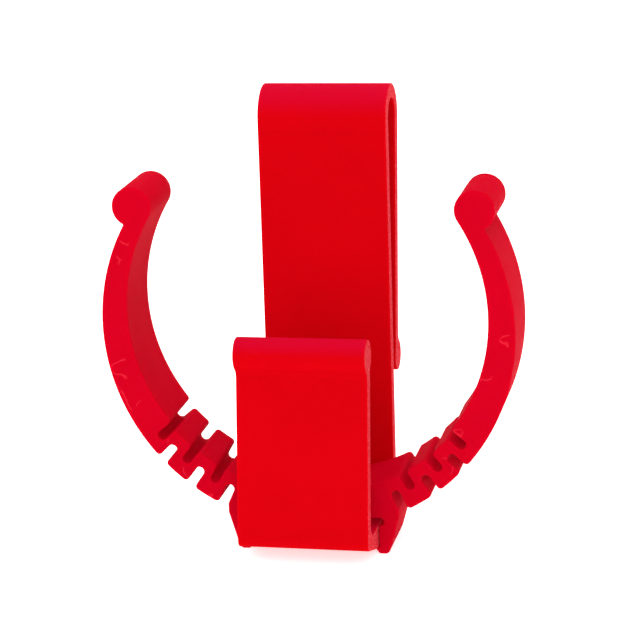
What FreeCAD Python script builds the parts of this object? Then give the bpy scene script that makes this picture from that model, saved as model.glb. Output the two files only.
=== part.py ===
"""Belt-clip tool holder: a bent strip that hooks over a belt, and an open ring cradle on its foot.

The strip is one S-shaped clip, W wide along X, whose section lies in the YZ plane: a belt hook, a
tall back plate, a bottom web and a front panel. The cradle is a second piece, extruded along Y: a
crescent arm on each side, a meander spring below each arm, and a base that straddles the web and
snaps under it with two legs. The origin is the centre of the cradle's ring, at half its depth.
"""
import FreeCAD
import Part
import Sketcher
import math
import os

from FreeCAD import Placement, Rotation, Vector

DIMENSIONS = [
    # alias, millimetres or degrees, what it is
    ("ring_radius", 35.0, "inner radius of the cradle"),
    ("shell_wall", 4.4, "wall of the arms at their middle"),
    ("shell_drop", 2.73, "how far the outside's centre lies below the ring's"),
    ("arm_inset", 0.65, "how far past the middle each arm's inner circle is centred"),
    ("cradle_depth", 14.6, "cradle along Y"),
    ("tip_angle", 122.4, "from straight down to the tip roll"),
    ("tip_radius", 3.8, "roll at the end of each arm"),
    ("tip_out", 3.25, "from the ring's inside to the roll's centre"),
    ("first_flexure_out", 2.292, "from the strip's side to the first flexure"),
    ("flexure_pitch", 3.0543, "from one flexure to the next, along the ring's inside"),
    ("kerf_angle", 0.3, "gap between two links at a flexure"),
    ("slot_width", 1.8, "meander slots"),
    ("slot_reach", 8.75, "straight part of a slot, past the ring's wall"),
    ("inner_slot_depth", 3.6, "depth of the slots from inside"),
    ("inner_bridge", 2.4, "wall that the slots from outside leave"),
    ("tooth_round", 0.75, "rounding of the meander's corners"),
    ("foot_side", 2.0, "base beyond the strip's side at its bottom"),
    ("knee_side", 4.1, "base beyond the strip's side at its widest"),
    ("knee_over_web", 1.65, "widest place over the web's top"),
    ("shoulder_wall", 6.4, "base beside the lowest slots"),
    ("foot_round", 0.9, "lower outer corners of the base"),
    ("strip_width", 25.0, "clip strip along X"),
    ("strip_gauge", 2.8, "thickness of the strip"),
    ("web_under_ring", 6.05, "web's top under the ring's inside"),
    ("web_gauge", 4.25, "thickness of the web"),
    ("web_ramp_ahead", 1.1, "where the underside starts to rise, ahead of the cradle"),
    ("web_ramp", 18.0, "slope of the underside towards the front"),
    ("web_side_fit", 0.2, "between the web and the base's slot on each side"),
    ("web_seat_gap", 0.2, "between the web and what lies over and under it"),
    ("relief_radius", 0.8, "rounds at the slot's upper corners"),
    ("relief_inboard", 1.6, "how far the relief reaches over the web"),
    ("relief_outboard", 0.2, "from the slot's side out to the relief's outer round"),
    ("leg_below", 1.4, "snap legs below the web"),
    ("barb_reach", 0.7, "how far a leg's barb reaches under the web"),
    ("barb_root", 0.1, "how far a barb is set into its leg"),
    ("leg_kerf", 0.3, "gap at the root of a snap leg"),
    ("panel_gap", 6.18, "from the cradle to the panel's root"),
    ("panel_lean", 8.5, "front panel towards the plate"),
    ("panel_rise", 4.05, "panel's root over the web's top"),
    ("panel_length", 31.0, "panel from its root to its bead's centre"),
    ("panel_bead", 3.25, "radius of the bead on the panel"),
    ("panel_bead_out", 0.7, "bead's centre in front of the panel's middle"),
    ("strip_kerf", 0.3, "gap where the strip is divided at a flexure"),
    ("hook_radius", 6.4, "outer radius of the belt hook"),
    ("plate_gap", 3.2, "from the cradle to the plate's foot"),
    ("plate_rise", 3.85, "plate's foot over the web's top"),
    ("plate_lean", 2.55, "back plate towards the rear at its top"),
    ("plate_length", 69.9, "plate from the hook to its foot"),
    ("leg_lean", 8.5, "belt leg towards the plate at its bottom"),
    ("leg_length", 47.1, "belt leg from the hook to its bead's centre"),
    ("leg_bead", 3.0, "radius of the bead on the belt leg"),
    ("leg_bead_out", 1.3, "bead's centre behind the leg's middle"),
    ("web_corner", 2.4, "inner corners of the strip at the web"),
    ("rear_corner", 4.0, "outer corner below the plate"),
    ("front_corner", 1.6, "outer corner below the panel"),
    ("bead_blend", 2.0, "hollow between a bead and its strip"),
    ("cut_past", 1.0, "how far a cutting block passes what it cuts"),
]
LINKS = 5
SIDES = {"right": 1, "left": -1}
# The cradle is drawn with its profile in XY and then stood up, so that XY becomes XZ.
STOOD_UP = Placement(Vector(), Rotation(Vector(1, 0, 0), 90))
SAME = 1e-3

# What follows from the driving dimensions, as formulas.
SHELL_RADIUS = "(Sizes.ring_radius + Sizes.shell_wall)"
TIP_CENTRE = "(Sizes.ring_radius + Sizes.tip_out)"
OUTER_SLOT_TOP = "(Sizes.ring_radius + Sizes.inner_bridge)"
INNER_SLOT_FLOOR = "(Sizes.ring_radius + Sizes.inner_slot_depth)"
FLEXURE_START = "asin((Sizes.strip_width / 2 + Sizes.first_flexure_out) / Sizes.ring_radius) / 1deg"
FLEXURE_PITCH = "(Sizes.flexure_pitch / Sizes.ring_radius * 180 / pi)"
WEB_TOP = "(-Sizes.ring_radius - Sizes.web_under_ring)"
WEB_BOTTOM = f"({WEB_TOP} - Sizes.web_gauge)"
BASE_BOTTOM = f"({WEB_BOTTOM} - Sizes.leg_below)"
BASE_KNEE = f"({WEB_TOP} + Sizes.knee_over_web)"
FOOT_HALF = "(Sizes.strip_width / 2 + Sizes.foot_side)"
KNEE_HALF = "(Sizes.strip_width / 2 + Sizes.knee_side)"
SLOT_HALF = "(Sizes.strip_width / 2 + Sizes.web_side_fit)"
LEG_ROOT = f"({WEB_TOP} + Sizes.relief_radius)"
PANEL_TAN = "tan(Sizes.panel_lean * 1deg)"
PANEL_SIN = "sin(Sizes.panel_lean * 1deg)"
PANEL_COS = "cos(Sizes.panel_lean * 1deg)"
PLATE_TAN = "tan(Sizes.plate_lean * 1deg)"
PLATE_SIN = "sin(Sizes.plate_lean * 1deg)"
PLATE_COS = "cos(Sizes.plate_lean * 1deg)"
PANEL_ROOT_Y = f"(-Sizes.cradle_depth / 2 - Sizes.panel_gap - Sizes.strip_gauge * {PANEL_COS})"
PANEL_ROOT_Z = f"({WEB_TOP} + Sizes.panel_rise)"
HOOK_Y = (f"(Sizes.cradle_depth / 2 + Sizes.plate_gap + Sizes.hook_radius * {PLATE_COS}"
          f" + Sizes.plate_length * {PLATE_SIN})")
HOOK_Z = (f"({WEB_TOP} + Sizes.plate_rise - Sizes.hook_radius * {PLATE_SIN}"
          f" + Sizes.plate_length * {PLATE_COS})")

doc = FreeCAD.newDocument("tool_holder")
sheet = doc.addObject("Spreadsheet::Sheet", "Sizes")
size = {}
for row, (alias, value, note) in enumerate(DIMENSIONS, start=1):
    sheet.set(f"A{row}", alias)
    sheet.set(f"B{row}", str(value))
    sheet.set(f"C{row}", note)
    sheet.setAlias(f"B{row}", alias)
    size[alias] = value
doc.recompute()
nodes = []


def evaluated(formula):
    """The value of a formula."""
    return float(sheet.evalExpression(formula.replace("Sizes.", "")))


def bind(item, expressions):
    """Tie the properties of an object to cells of the sheet."""
    for name, formula in expressions.items():
        item.setExpression(name, formula)


def keep(item, label, placement=Placement()):
    """Make an object the sub-part called label."""
    item.Label = label
    item.Placement = placement
    nodes.append(item)


# ---- cradle: primitives and booleans -------------------------------------------------------------

def cylinder(name, radius, x="0", y="0", angle="360", turn="0"):
    item = doc.addObject("Part::Cylinder", name)
    bind(item, {
        "Radius": radius,
        "Height": "Sizes.cradle_depth",
        "Angle": angle,
        "Placement.Base.x": x,
        "Placement.Base.y": y,
        "Placement.Base.z": "-Sizes.cradle_depth / 2",
        "Placement.Rotation.Angle": turn,
    })
    return item


def box(name, x, y, length, width):
    item = doc.addObject("Part::Box", name)
    bind(item, {
        "Length": length,
        "Width": width,
        "Height": "Sizes.cradle_depth",
        "Placement.Base.x": x,
        "Placement.Base.y": y,
        "Placement.Base.z": "-Sizes.cradle_depth / 2",
    })
    return item


def wedge(name, low, high, low_x, high_x):
    """A prism between two levels, with its own X range at each."""
    item = doc.addObject("Part::Wedge", name)
    bind(item, {
        "Ymin": low, "Ymax": high,
        "Xmin": low_x[0], "Xmax": low_x[1],
        "X2min": high_x[0], "X2max": high_x[1],
        "Zmin": "-Sizes.cradle_depth / 2", "Zmax": "Sizes.cradle_depth / 2",
        "Z2min": "-Sizes.cradle_depth / 2", "Z2max": "Sizes.cradle_depth / 2",
    })
    return item


def cut(name, base, tool):
    item = doc.addObject("Part::Cut", name)
    item.Base = base
    item.Tool = tool
    return item


def common(name, base, tool):
    item = doc.addObject("Part::Common", name)
    item.Base = base
    item.Tool = tool
    return item


def fuse(name, shapes):
    item = doc.addObject("Part::MultiFuse", name)
    item.Shapes = shapes
    return item


def fillet(name, base, radius, chosen):
    """Round the edges of base, along the depth, that chosen(x, y) picks by their place."""
    doc.recompute()
    picked = []
    for number, edge in enumerate(base.Shape.Edges, start=1):
        middle = edge.CenterOfMass
        ends = edge.Vertexes
        straight = len(ends) == 2 and math.dist((ends[0].X, ends[0].Y), (ends[1].X, ends[1].Y)) < SAME
        if straight and abs(middle.z) < SAME and chosen(middle.x, middle.y):
            picked.append((number, size[radius], size[radius]))
    if not picked:
        raise RuntimeError(f"{name}: no edge to round")
    item = doc.addObject("Part::Fillet", name)
    item.Base = base
    item.Edges = picked
    return item


def heading(side, degrees_from_down):
    """Formula of the turn, from +X, of a direction that many degrees up from straight down."""
    return f"-90 {'+' if side > 0 else '-'} ({degrees_from_down})"


def sector(name, side, low, high, radius="2 * Sizes.ring_radius"):
    """A pie slice between two directions, both counted up from straight down."""
    start = low if side > 0 else high
    return cylinder(name, radius, angle=f"({high}) - ({low})", turn=heading(side, start))


def flexure(index):
    """Direction of a flexure, counted up from straight down."""
    return f"{FLEXURE_START} + {index} * {FLEXURE_PITCH}"


def flexure_slot(name, side, index):
    """Slot at a flexure. Even ones come from outside and odd ones from inside the ring."""
    if index % 2 == 0:
        centre = f"{OUTER_SLOT_TOP} + Sizes.slot_width / 2"
        start = centre
    else:
        centre = f"{INNER_SLOT_FLOOR} - Sizes.slot_width / 2"
        start = f"{centre} - Sizes.slot_reach"
    bar = box(name + "_bar", start, "-Sizes.slot_width / 2", "Sizes.slot_reach", "Sizes.slot_width")
    end = cylinder(name + "_end", "Sizes.slot_width / 2", x=centre)
    slot = fuse(name, [bar, end])
    bind(slot, {"Placement.Rotation.Angle": heading(side, flexure(index))})
    return slot


def surface_gap(x, y):
    """Distance of a point from the nearest of the cradle's round surfaces."""
    inside = abs(math.hypot(x, y) - size["ring_radius"])
    arm_inside = abs(math.hypot(abs(x) + size["arm_inset"], y) - size["ring_radius"])
    outside = abs(math.hypot(x, y + size["shell_drop"]) - evaluated(SHELL_RADIUS))
    return min(inside, arm_inside, outside)


def turn_of(x, y):
    """Direction of a point, in degrees up from straight down."""
    return math.degrees(math.atan2(abs(x), -y))


def off_flexures(x, y):
    """True where a point isn't on the plane of a cut between two links."""
    from_cuts = [
        abs(abs(turn_of(x, y) - evaluated(flexure(index))) - size["kerf_angle"] / 2)
        for index in range(LINKS + 1)]
    return min(from_cuts) > size["kerf_angle"] / 6


def on_tooth(x, y):
    """True at the corners of the meander's teeth."""
    return surface_gap(x, y) < SAME and off_flexures(x, y) and turn_of(x, y) < evaluated(flexure(LINKS + 1))


ring = cut(
    "ring",
    cylinder("ring_outside", SHELL_RADIUS, y="-Sizes.shell_drop"),
    cylinder("ring_inside", "Sizes.ring_radius"),
)
slots = {}
for side_name, side in SIDES.items():
    for index in range(LINKS + 1):
        slots[side_name, index] = flexure_slot(f"{side_name}_slot_{index}", side, index)

for side_name, side in SIDES.items():
    for index in range(LINKS):
        name = f"{side_name}_spring_link_{index + 1}"
        blank = common(
            name + "_blank",
            ring,
            sector(
                name + "_sector", side,
                f"{flexure(index)} + Sizes.kerf_angle / 2",
                f"{flexure(index + 1)} - Sizes.kerf_angle / 2",
            ),
        )
        once = cut(name + "_cut_below", blank, slots[side_name, index])
        twice = cut(name + "_cut_above", once, slots[side_name, index + 1])
        keep(fillet(name + "_rounded", twice, "tooth_round", on_tooth), name, STOOD_UP)

    arm_ring = cut(
        side_name + "_arm_ring",
        doc.getObject("ring_outside"),
        cylinder(side_name + "_arm_inside", "Sizes.ring_radius", x=f"-{side} * Sizes.arm_inset"),
    )
    crescent = common(
        side_name + "_crescent",
        arm_ring,
        sector(
            side_name + "_arm_sector", side,
            f"{flexure(LINKS)} + Sizes.kerf_angle / 2",
            "Sizes.tip_angle",
        ),
    )
    slotted = cut(side_name + "_crescent_cut", crescent, slots[side_name, LINKS])
    rounded = fillet(side_name + "_crescent_rounded", slotted, "tooth_round", on_tooth)
    roll = cylinder(
        side_name + "_tip_roll",
        "Sizes.tip_radius",
        x=f"{side} * {TIP_CENTRE} * sin(Sizes.tip_angle * 1deg)",
        y=f"-{TIP_CENTRE} * cos(Sizes.tip_angle * 1deg)",
    )
    keep(fuse(side_name + "_arm_whole", [rounded, roll]), side_name + "_arm", STOOD_UP)

# Base: a block below the ring, upright above its knee and tapered below it, without the web's slot,
# its corner reliefs and the two legs.
taper = wedge(
    "base_taper", BASE_BOTTOM, BASE_KNEE, (f"-{FOOT_HALF}", FOOT_HALF), (f"-{KNEE_HALF}", KNEE_HALF),
)
cheek = wedge(
    "base_cheek", BASE_KNEE, "-Sizes.ring_radius", (f"-{KNEE_HALF}", KNEE_HALF), (f"-{KNEE_HALF}", KNEE_HALF),
)
shoulder = cylinder(
    "base_shoulder_sector", "Sizes.ring_radius + Sizes.shoulder_wall",
    angle=f"2 * {FLEXURE_START} - Sizes.kerf_angle",
    turn=f"-90 - {FLEXURE_START} + Sizes.kerf_angle / 2",
)
block = cut("base_block", fuse("base_solid", [taper, cheek, shoulder]), doc.getObject("ring_inside"))
block = cut("base_block_right", block, slots["right", 0])
block = cut("base_block_left", block, slots["left", 0])
web_room = box(
    "web_room",
    f"-{SLOT_HALF}", f"{BASE_BOTTOM} - Sizes.cut_past",
    f"2 * {SLOT_HALF}", f"{WEB_TOP} + Sizes.web_seat_gap - {BASE_BOTTOM} + Sizes.cut_past",
)
reliefs = []
for side_name, side in SIDES.items():
    inner_end = "Sizes.strip_width / 2 - Sizes.relief_inboard + Sizes.relief_radius"
    outer_end = f"{SLOT_HALF} + Sizes.relief_outboard"
    for end_name, end in (("inner", inner_end), ("outer", outer_end)):
        reliefs.append(cylinder(
            f"{side_name}_relief_{end_name}", "Sizes.relief_radius", x=f"{side} * ({end})", y=LEG_ROOT))
    left_end = inner_end if side > 0 else outer_end
    reliefs.append(box(
        f"{side_name}_relief_bar",
        f"{side} * ({left_end})", f"{LEG_ROOT} - Sizes.relief_radius",
        f"({outer_end}) - ({inner_end})", "2 * Sizes.relief_radius",
    ))
opened = cut("base_opened", block, fuse("web_clearance", [web_room] + reliefs))
leg_zones = {}
for side_name, side in SIDES.items():
    zone_start = SLOT_HALF if side > 0 else f"-{SLOT_HALF} - {KNEE_HALF}"
    leg_zones[side_name] = box(
        side_name + "_leg_zone",
        zone_start, f"{BASE_BOTTOM} - Sizes.cut_past",
        KNEE_HALF, f"{LEG_ROOT} + Sizes.leg_kerf / 2 - {BASE_BOTTOM} + Sizes.cut_past",
    )
base = cut("base_without_legs", opened, fuse("both_leg_zones", list(leg_zones.values())))
keep(base, "cradle_base", STOOD_UP)


def on_foot_corner(x, y):
    """True at the lower outer corners of the base."""
    return math.dist((abs(x), y), (evaluated(FOOT_HALF), evaluated(BASE_BOTTOM))) < SAME


for side_name, side in SIDES.items():
    name = side_name + "_snap_leg"
    kerf = box(
        name + "_kerf",
        f"-2 * {KNEE_HALF}", f"{LEG_ROOT} - Sizes.leg_kerf / 2",
        f"4 * {KNEE_HALF}", "2 * Sizes.leg_kerf",
    )
    plain = cut(name + "_plain", common(name + "_whole_zone", opened, leg_zones[side_name]), kerf)
    rounded = fillet(name + "_rounded", plain, "foot_round", on_foot_corner)
    root = f"({SLOT_HALF} + Sizes.barb_root)"
    tip = "(Sizes.strip_width / 2 - Sizes.barb_reach)"
    low_ends = [f"{side} * {SLOT_HALF}", f"{side} * {root}"]
    high_ends = [f"{side} * {tip}", f"{side} * {root}"]
    barb = wedge(
        name + "_barb", BASE_BOTTOM, f"{WEB_BOTTOM} - Sizes.web_seat_gap",
        low_ends[::side], high_ends[::side],
    )
    keep(fuse(name + "_whole", [rounded, barb]), name, STOOD_UP)


# ---- clip strip: bodies with sketches ------------------------------------------------------------

def new_body(label, x="0", y="0", z="0", turn="0"):
    """A body placed by formulas, turned about X."""
    body = doc.addObject("PartDesign::Body", label + "_body")
    body.Label = label
    body.Placement = Placement(Vector(), Rotation(Vector(1, 0, 0), 1))
    bind(body, {
        "Placement.Base.x": x,
        "Placement.Base.y": y,
        "Placement.Base.z": z,
        "Placement.Rotation.Angle": turn,
    })
    nodes.append(body)
    return body


def new_sketch(body, role, name):
    sketch = body.newObject("Sketcher::SketchObject", name)
    plane = next(item for item in body.Origin.OriginFeatures if item.Role == role)
    sketch.AttachmentSupport = [(plane, "")]
    sketch.MapMode = "FlatFace"
    return sketch


def add_polygon(sketch, corners):
    """A closed outline whose corners are pairs of formulas."""
    points = [Vector(evaluated(x), evaluated(y), 0) for x, y in corners]
    count = len(points)
    for index in range(count):
        sketch.addGeometry(Part.LineSegment(points[index], points[(index + 1) % count]))
    for index in range(count):
        sketch.addConstraint(Sketcher.Constraint("Coincident", index, 2, (index + 1) % count, 1))
    for index, (x, y) in enumerate(corners):
        for kind, formula, value in (("DistanceX", x, points[index].x), ("DistanceY", y, points[index].y)):
            number = sketch.addConstraint(Sketcher.Constraint(kind, -1, 1, index, 1, value))
            sketch.setExpression(f"Constraints[{number}]", formula)


def add_circle(sketch, x, y, radius):
    centre = Vector(evaluated(x), evaluated(y), 0)
    index = sketch.addGeometry(Part.Circle(centre, Vector(0, 0, 1), evaluated(radius)))
    for kind, formula, value in (("DistanceX", x, centre.x), ("DistanceY", y, centre.y)):
        number = sketch.addConstraint(Sketcher.Constraint(kind, -1, 1, index, 3, value))
        sketch.setExpression(f"Constraints[{number}]", formula)
    number = sketch.addConstraint(Sketcher.Constraint("Radius", index, evaluated(radius)))
    sketch.setExpression(f"Constraints[{number}]", radius)


def pad(body, sketch, name):
    """Pad a YZ sketch to both sides, as wide as the strip."""
    item = body.newObject("PartDesign::Pad", name)
    item.Profile = sketch
    item.Midplane = True
    bind(item, {"Length": "Sizes.strip_width"})
    return item


def strip_bend(body, name, angle):
    """Turn the strip's section about X, from the +Y side of the body's origin towards +Z."""
    sketch = new_sketch(body, "XY_Plane", name + "_section")
    inner = "Sizes.hook_radius - Sizes.strip_gauge"
    half = "Sizes.strip_width / 2"
    add_polygon(sketch, [
        (f"-{half}", inner), (half, inner), (half, "Sizes.hook_radius"), (f"-{half}", "Sizes.hook_radius")])
    item = body.newObject("PartDesign::Revolution", name)
    item.Profile = sketch
    item.ReferenceAxis = (sketch, ["H_Axis"])
    bind(item, {"Angle": angle})
    return item


def round_edges(body, name, radius, chosen):
    """Fillet the edges along X that chosen(y, z) picks, in the body's own frame."""
    doc.recompute()
    feature = body.Tip
    picked = []
    for number, edge in enumerate(feature.Shape.Edges, start=1):
        ends = [vertex.Point for vertex in edge.Vertexes]
        along = len(ends) == 2 and (ends[0] - ends[1]).cross(Vector(1, 0, 0)).Length < 1e-6
        middle = edge.CenterOfMass
        if along and chosen(middle.y, middle.z):
            picked.append(f"Edge{number}")
    if not picked:
        raise RuntimeError(f"{name}: no edge to round")
    item = body.newObject("PartDesign::Fillet", name)
    item.Base = (feature, picked)
    bind(item, {"Radius": radius})
    return item


def near(first, second, reach=0.05):
    return math.hypot(first[0] - second[0], first[1] - second[1]) < reach


# Front panel: its own frame stands at its root's front edge, leaning with it.
panel = new_body("front_panel", y=PANEL_ROOT_Y, z=PANEL_ROOT_Z, turn="-Sizes.panel_lean")
outline = new_sketch(panel, "YZ_Plane", "panel_outline")
add_polygon(outline, [
    ("0", "Sizes.strip_kerf / 2"), ("Sizes.strip_gauge", "Sizes.strip_kerf / 2"),
    ("Sizes.strip_gauge", "Sizes.panel_length"), ("0", "Sizes.panel_length")])
pad(panel, outline, "panel_slab")
outline = new_sketch(panel, "YZ_Plane", "panel_bead_outline")
BEAD_MIDDLE = "Sizes.strip_gauge / 2 - Sizes.panel_bead_out"
add_circle(outline, BEAD_MIDDLE, "Sizes.panel_length", "Sizes.panel_bead")
pad(panel, outline, "panel_bead_roll")


def bead_hollows(bead_radius, bead_y, bead_z, faces, side):
    """Where a bead's circle meets its strip's faces: above the bead with side 1, below it with side -1."""
    return [(face, bead_z + side * math.sqrt(bead_radius ** 2 - (bead_y - face) ** 2)) for face in faces]


def in_hollow(hollows):
    """The choice of the edges that lie in one of the hollows."""
    return lambda y, z: any(near((y, z), hollow) for hollow in hollows)


round_edges(panel, "panel_bead_blend", "Sizes.bead_blend", in_hollow(bead_hollows(
    size["panel_bead"], evaluated(BEAD_MIDDLE), size["panel_length"], (0, size["strip_gauge"]), -1)))

# Belt leg: its own frame stands at the hook's centre, leaning with the leg.
leg = new_body("belt_leg", y=HOOK_Y, z=HOOK_Z, turn="-Sizes.leg_lean")
KERF_TURN = "Sizes.strip_kerf / 2 / Sizes.hook_radius * 180 / pi"
strip_bend(leg, "leg_bend", f"90 + Sizes.leg_lean - {KERF_TURN}")
outline = new_sketch(leg, "YZ_Plane", "leg_outline")
leg_inner = "Sizes.hook_radius - Sizes.strip_gauge"
add_polygon(outline, [
    (leg_inner, "0"), ("Sizes.hook_radius", "0"),
    ("Sizes.hook_radius", "-Sizes.leg_length"), (leg_inner, "-Sizes.leg_length")])
pad(leg, outline, "leg_slab")
outline = new_sketch(leg, "YZ_Plane", "leg_bead_outline")
LEG_BEAD_MIDDLE = "Sizes.hook_radius - Sizes.strip_gauge / 2 + Sizes.leg_bead_out"
add_circle(outline, LEG_BEAD_MIDDLE, "-Sizes.leg_length", "Sizes.leg_bead")
pad(leg, outline, "leg_bead_roll")
round_edges(leg, "leg_bead_blend", "Sizes.bead_blend", in_hollow(bead_hollows(
    size["leg_bead"], evaluated(LEG_BEAD_MIDDLE), -size["leg_length"],
    (size["hook_radius"], size["hook_radius"] - size["strip_gauge"]), 1)))

# Hook crown: the front quarter of the bend, from the top down to the plate.
crown = new_body("hook_crown", y=HOOK_Y, z=HOOK_Z, turn=f"90 + {KERF_TURN}")
strip_bend(crown, "crown_bend", f"90 - Sizes.plate_lean - {KERF_TURN}")

# Back plate: the hook's frame again, leaning with the plate.
plate = new_body("back_plate", y=HOOK_Y, z=HOOK_Z, turn="-Sizes.plate_lean")
outline = new_sketch(plate, "YZ_Plane", "plate_outline")
plate_inner = "-Sizes.hook_radius + Sizes.strip_gauge"
add_polygon(outline, [
    ("-Sizes.hook_radius", "0"), (plate_inner, "0"),
    (plate_inner, "-Sizes.plate_length"), ("-Sizes.hook_radius", "-Sizes.plate_length")])
pad(plate, outline, "plate_slab")

# Bottom web: from the panel's root to the plate's lower end, in the holder's own frame.

def panel_point(depth, height):
    """A point of the panel's frame, in the holder's."""
    return (f"{PANEL_ROOT_Y} + ({depth}) * {PANEL_COS} + ({height}) * {PANEL_SIN}",
            f"{PANEL_ROOT_Z} - ({depth}) * {PANEL_SIN} + ({height}) * {PANEL_COS}")


def plate_point(depth, height):
    """A point of the plate's frame, in the holder's."""
    return (f"{HOOK_Y} + ({depth}) * {PLATE_COS} + ({height}) * {PLATE_SIN}",
            f"{HOOK_Z} - ({depth}) * {PLATE_SIN} + ({height}) * {PLATE_COS}")


def slid_to(point, tangent, level):
    """The point on a leaning face, through point, at a level."""
    return (f"({point[0]}) + (({level}) - ({point[1]})) * {tangent}", level)


panel_front = panel_point("0", "-Sizes.strip_kerf / 2")
panel_back = panel_point("Sizes.strip_gauge", "-Sizes.strip_kerf / 2")
plate_front = plate_point("-Sizes.hook_radius", "-Sizes.plate_length")
plate_back = plate_point(plate_inner, "-Sizes.plate_length")
panel_inner_corner = slid_to(panel_back, PANEL_TAN, WEB_TOP)
plate_inner_corner = slid_to(plate_front, PLATE_TAN, WEB_TOP)
plate_outer_corner = slid_to(plate_back, PLATE_TAN, WEB_BOTTOM)
ramp_foot = ("-Sizes.cradle_depth / 2 - Sizes.web_ramp_ahead", WEB_BOTTOM)
ramp_rise = "tan(Sizes.web_ramp * 1deg)"
ramp_top_level = (f"({WEB_BOTTOM} + ({ramp_foot[0]} - ({panel_front[0]})"
                  f" + ({panel_front[1]}) * {PANEL_TAN}) * {ramp_rise}) / (1 + {PANEL_TAN} * {ramp_rise})")
ramp_top = slid_to(panel_front, PANEL_TAN, ramp_top_level)
web = new_body("bottom_web")
outline = new_sketch(web, "YZ_Plane", "web_outline")
add_polygon(outline, [
    panel_front, panel_back, panel_inner_corner, plate_inner_corner,
    plate_front, plate_back, plate_outer_corner, ramp_foot, ramp_top])
pad(web, outline, "web_bar")
for name, radius, corners in (
    ("web_inner_corners", "Sizes.web_corner", (panel_inner_corner, plate_inner_corner)),
    ("web_rear_corner", "Sizes.rear_corner", (plate_outer_corner,)),
    ("web_front_corner", "Sizes.front_corner", (ramp_top,)),
):
    round_edges(web, name, radius, in_hollow([(evaluated(y), evaluated(z)) for y, z in corners]))

# ---- checks and files ----------------------------------------------------------------------------

doc.recompute()
for item in doc.Objects:
    if "Invalid" in item.State or "Error" in item.State:
        raise RuntimeError(f"{item.Label} failed: {item.State}")
for item in nodes:
    if item.Shape.isNull() or not item.Shape.isValid() or len(item.Shape.Solids) != 1:
        raise RuntimeError(f"{item.Label} has no single valid solid")

os.makedirs("parts", exist_ok=True)
for item in nodes:
    item.Shape.exportStep(f"parts/{item.Label}.step")
    bounds = item.Shape.BoundBox
    print(f"{item.Label:24s} {item.Shape.Volume:9.1f} mm3  X {bounds.XMin:7.2f} {bounds.XMax:7.2f}"
          f"  Y {bounds.YMin:7.2f} {bounds.YMax:7.2f}  Z {bounds.ZMin:7.2f} {bounds.ZMax:7.2f}")
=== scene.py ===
"""Looks of a printed belt clip holder: a bent clip strip and an open ring cradle on meander springs.

Both printed parts are drawn as outlines, extruded, rounded along their rims and then divided where the
plastic bends, so that every bend is one closed piece between the two bodies that it joins. The strip's
outline lies in the YZ plane and is as wide as the strip along X. The cradle's outline lies in the XZ
plane and is as deep as the cradle along Y. Lengths are in metres and angles in radians.
"""

import math

import bpy
from bpy.props import FloatProperty, FloatVectorProperty, PointerProperty
from mathutils import Matrix, Vector


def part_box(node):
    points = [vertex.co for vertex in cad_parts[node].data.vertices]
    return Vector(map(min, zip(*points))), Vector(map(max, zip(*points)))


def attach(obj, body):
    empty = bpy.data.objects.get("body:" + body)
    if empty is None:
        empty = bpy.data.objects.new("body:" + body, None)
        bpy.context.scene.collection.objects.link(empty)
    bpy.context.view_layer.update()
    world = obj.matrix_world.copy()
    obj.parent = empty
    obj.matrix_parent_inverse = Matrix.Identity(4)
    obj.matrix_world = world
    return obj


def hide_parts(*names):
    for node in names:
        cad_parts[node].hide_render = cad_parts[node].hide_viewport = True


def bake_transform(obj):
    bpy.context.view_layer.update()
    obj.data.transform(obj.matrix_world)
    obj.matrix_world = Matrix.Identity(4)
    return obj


bl_info = {
    "name": "Belt Clip Holder",
    "version": (1, 0, 0),
    "blender": (4, 5, 0),
    "location": "3D View > Sidebar > Holder",
    "description": "Models the two printed parts of a belt clip holder and their studio",
    "category": "Object",
}

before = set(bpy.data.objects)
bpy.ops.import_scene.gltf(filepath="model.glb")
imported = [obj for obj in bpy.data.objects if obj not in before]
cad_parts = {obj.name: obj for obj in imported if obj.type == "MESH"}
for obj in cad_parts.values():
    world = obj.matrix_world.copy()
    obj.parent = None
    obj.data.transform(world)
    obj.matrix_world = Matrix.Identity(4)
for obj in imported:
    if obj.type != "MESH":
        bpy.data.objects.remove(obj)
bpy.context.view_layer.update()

MM = 0.001
LINKS = 5
SIDES = {"right": 1, "left": -1}

ARM_LOW, ARM_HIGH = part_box("right_arm")
PLATE_LOW, PLATE_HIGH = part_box("back_plate")
LEG_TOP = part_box("belt_leg")[1].z
FLOOR_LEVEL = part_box("right_snap_leg")[0].z

# Where the two prints are divided, and where they bend.
WEB_CUT = -4.0 * MM                    # the strip's web is divided here, along Y
PLATE_CUT = 2.0 * MM                   # and its plate this far below the hook's centre
GATE_SHARE = 0.39   # the plane between plate and leg leans this much of the way from one to the other

# How the meshes are made.
CHORD = 0.3 * MM                 # length of the straight pieces in an arc
WELD = 0.001 * MM                # vertices closer than this are one
CUT_PRECISION = 0.0001 * MM      # how exactly a cut meets a vertex
RIM_SEGMENTS = 3
RIM_ANGLE = math.radians(28)     # edges sharper than this are rounded
SMOOTH_ANGLE = math.radians(40)  # and edges blunter than this are shaded smooth


def length(name, description, default):
    """A property that holds a length in metres."""
    return FloatProperty(name=name, description=description, default=default, unit="LENGTH", precision=5)


def turn(name, description, degrees):
    """A property that holds an angle, whose default is given in degrees."""
    return FloatProperty(name=name, description=description, default=math.radians(degrees), subtype="ANGLE")


def colour(name, description, default):
    """A property that holds a linear colour."""
    return FloatVectorProperty(
        name=name, description=description, default=default, size=3, subtype="COLOR", min=0.0, max=1.0)


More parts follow.
